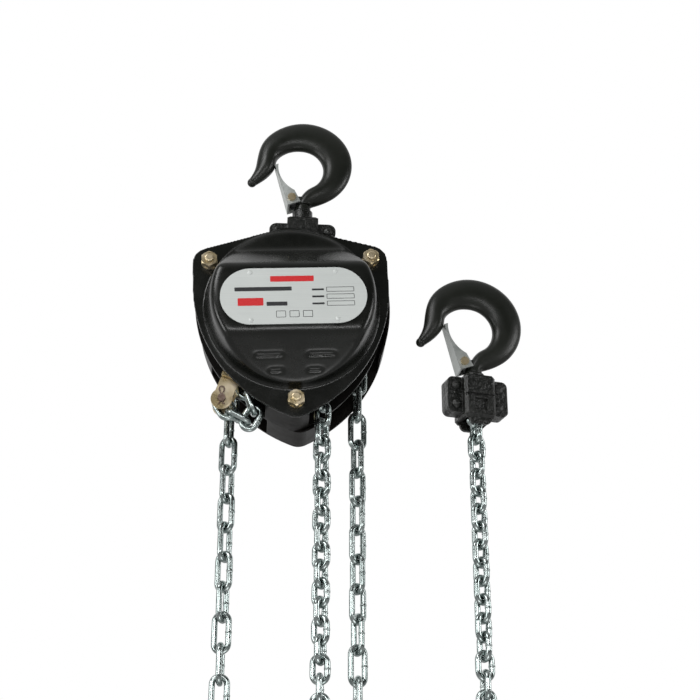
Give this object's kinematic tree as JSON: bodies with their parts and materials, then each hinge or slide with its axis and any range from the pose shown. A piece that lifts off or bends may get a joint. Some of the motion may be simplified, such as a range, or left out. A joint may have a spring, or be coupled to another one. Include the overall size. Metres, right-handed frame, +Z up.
{
  "type": "hand chain hoist",
  "caption": "Hand chain hoist with swivelling latched hooks, a geared sheave under a shield-shaped cover, load brake, and load and hand chains hanging as short closed loops.",
  "frame": {"origin": "seat of the top hook's bowl, on the axis of its shank", "axes": "+Z up along the top hook's shank, -Y out of the gear cover with its nameplate, +X towards the load hook's side"},
  "size_m": [0.2849, 0.1153, 0.5998],
  "materials": {
    "forged_hook": "satin black enamel over a forging",
    "cast_black": "black enamel over a rough casting",
    "cover_black": "satin black powder coat over pressed steel",
    "wheel_cover_black": "satin brownish black coat over pressed steel",
    "plate_black": "black plate steel",
    "nameplate_metal": "matt anodised sheet, bare",
    "yellow_zinc": "yellow chromated zinc",
    "latch_zinc": "bright zinc on sheet steel",
    "chain_zinc": "bright zinc on round wire links",
    "bare_steel": "oiled machined steel",
    "cast_wheel": "cast wheel",
    "lining": "moulded friction lining",
    "rusty_pin": "split pin with surface rust"
  },
  "bodies": {
    "top_hook": {"top_hook": "forged_hook", "top_latch_pin": "yellow_zinc"},
    "top_latch": {"top_hook_latch": "latch_zinc", "top_latch_spring": "bare_steel"},
    "yoke": {"top_yoke_front": "cast_black", "top_yoke_rear": "cast_black", "top_yoke_rivets": "cast_black", "top_hook_washer": "cast_black"},
    "frame": {"side_plate_front": "plate_black", "side_plate_rear": "plate_black", "suspension_pin": "bare_steel", "stay_bolts": "yellow_zinc", "front_nuts": "yellow_zinc", "front_lock_washers": "yellow_zinc", "rear_nuts": "yellow_zinc", "rear_spacers": "bare_steel", "tip_guard": "plate_black", "gear_cover": "cover_black", "nameplate": "nameplate_metal", "nameplate_rivets": "nameplate_metal", "hand_wheel_cover": "wheel_cover_black", "sheave_bearing_front": "bare_steel", "sheave_bearing_rear": "bare_steel", "pawl_pins": "bare_steel", "pawl_springs": "bare_steel", "guide_roller_pins": "bare_steel", "chain_stripper": "plate_black", "load_chain_tail": "chain_zinc", "chain_anchor": "yellow_zinc", "anchor_washer": "yellow_zinc", "anchor_pin": "rusty_pin", "anchor_split_pin": "rusty_pin"},
    "drive": {"drive_shaft": "bare_steel", "friction_hub": "bare_steel", "friction_lining_inner": "lining", "friction_lining_outer": "lining", "ratchet_wheel": "bare_steel", "hand_chain_wheel": "cast_wheel", "shaft_castle_nut": "bare_steel", "shaft_split_pin": "bare_steel"},
    "intermediate_left": {"intermediate_gear_left": "bare_steel"},
    "intermediate_right": {"intermediate_gear_right": "bare_steel"},
    "sheave": {"load_sheave": "cast_wheel", "load_gear": "bare_steel", "load_gear_snap_ring": "bare_steel"},
    "pawl_right": {"pawl_right": "bare_steel"},
    "pawl_left": {"pawl_left": "bare_steel"},
    "guide_roller_left": {"guide_roller_left": "bare_steel"},
    "guide_roller_right": {"guide_roller_right": "bare_steel"},
    "hand_chain": {"hand_chain": "chain_zinc"},
    "load_chain": {"load_chain": "chain_zinc"},
    "load_block": {"load_block_front": "cast_black", "load_block_rear": "cast_black", "load_block_rivets": "cast_black", "chain_pin": "cast_black", "load_hook_washer": "cast_black"},
    "load_hook": {"load_hook": "forged_hook", "load_latch_pin": "yellow_zinc"},
    "load_latch": {"load_hook_latch": "latch_zinc", "load_latch_spring": "bare_steel"}
  },
  "joints": [
    {"name": "top_latch_open", "type": "hinge", "parent": "top_hook", "child": "top_latch", "pos_m": [-0.0099, 0, -0.0535], "axis": [0, 1, 0], "range_deg": [0, 35], "stiffness_Nm_per_rad": 0.02, "springref_deg": -28.65, "deforming": ["top_latch_spring"]},
    {"name": "top_hook_swivel", "type": "hinge", "parent": "top_hook", "child": "yoke", "pos_m": [0, 0, -0.08], "axis": [0, 0, 1], "continuous": true},
    {"name": "body_swing", "type": "hinge", "parent": "yoke", "child": "frame", "pos_m": [0, 0, -0.105], "axis": [0, 1, 0], "range_deg": [-5, 15]},
    {"name": "drive_spin", "type": "hinge", "parent": "frame", "child": "drive", "pos_m": [-0.00316, 0, -0.18098], "axis": [0, 1, 0], "continuous": true, "deforming": ["hand_chain"]},
    {"name": "intermediate_left_spin", "type": "hinge", "parent": "frame", "child": "intermediate_left", "pos_m": [-0.03186, 0, -0.17223], "axis": [0, 1, 0], "continuous": true},
    {"name": "intermediate_right_spin", "type": "hinge", "parent": "frame", "child": "intermediate_right", "pos_m": [0.02444, 0, -0.16923], "axis": [0, 1, 0], "continuous": true},
    {"name": "sheave_spin", "type": "hinge", "parent": "frame", "child": "sheave", "pos_m": [-0.00316, 0, -0.18098], "axis": [0, 1, 0], "continuous": true, "deforming": ["load_chain_tail", "load_chain"]},
    {"name": "pawl_right_lift", "type": "hinge", "parent": "frame", "child": "pawl_right", "pos_m": [0.0255, 0, -0.15854], "axis": [0, 1, 0], "range_deg": [0, 12], "stiffness_Nm_per_rad": 0.01, "springref_deg": -28.65},
    {"name": "pawl_left_lift", "type": "hinge", "parent": "frame", "child": "pawl_left", "pos_m": [-0.03183, 0, -0.20341], "axis": [0, 1, 0], "range_deg": [0, 12], "stiffness_Nm_per_rad": 0.01, "springref_deg": -28.65},
    {"name": "guide_roller_left_spin", "type": "hinge", "parent": "frame", "child": "guide_roller_left", "pos_m": [-0.04134, 0, -0.18301], "axis": [0, 1, 0], "continuous": true},
    {"name": "guide_roller_right_spin", "type": "hinge", "parent": "frame", "child": "guide_roller_right", "pos_m": [0.03501, 0, -0.17894], "axis": [0, 1, 0], "continuous": true},
    {"name": "hand_chain_hang", "type": "hinge", "parent": "frame", "child": "hand_chain", "pos_m": [-0.00316, 0, -0.18098], "axis": [0, 1, 0], "range_deg": [-15, 5], "deforming": ["hand_chain"]},
    {"name": "load_chain_hang", "type": "hinge", "parent": "frame", "child": "load_chain", "pos_m": [0.01908, 0, -0.19108], "axis": [0, 1, 0], "range_deg": [-15, 5], "deforming": ["load_chain"]},
    {"name": "load_block_tilt", "type": "hinge", "parent": "load_chain", "child": "load_block", "pos_m": [0.1476, 0, -0.2474], "axis": [-0.2419, 0.9703, 0], "range_deg": [-20, 60]},
    {"name": "load_hook_swivel", "type": "hinge", "parent": "load_block", "child": "load_hook", "pos_m": [0.1476, 0, -0.23], "axis": [0, 0, 1], "continuous": true},
    {"name": "load_latch_open", "type": "hinge", "parent": "load_hook", "child": "load_latch", "pos_m": [0.13775, -0.00103, -0.2075], "axis": [-0.1045, 0.9945, 0], "range_deg": [0, 35], "stiffness_Nm_per_rad": 0.02, "springref_deg": -28.65, "deforming": ["load_latch_spring"]}
  ],
  "couplings": [
    {"joint": "intermediate_left_spin", "follows": "drive_spin", "ratio": -0.2},
    {"joint": "intermediate_right_spin", "follows": "drive_spin", "ratio": -0.2},
    {"joint": "sheave_spin", "follows": "drive_spin", "ratio": 0.085714},
    {"joint": "hand_chain_hang", "follows": "body_swing", "ratio": -1},
    {"joint": "load_chain_hang", "follows": "body_swing", "ratio": -1}
  ]
}
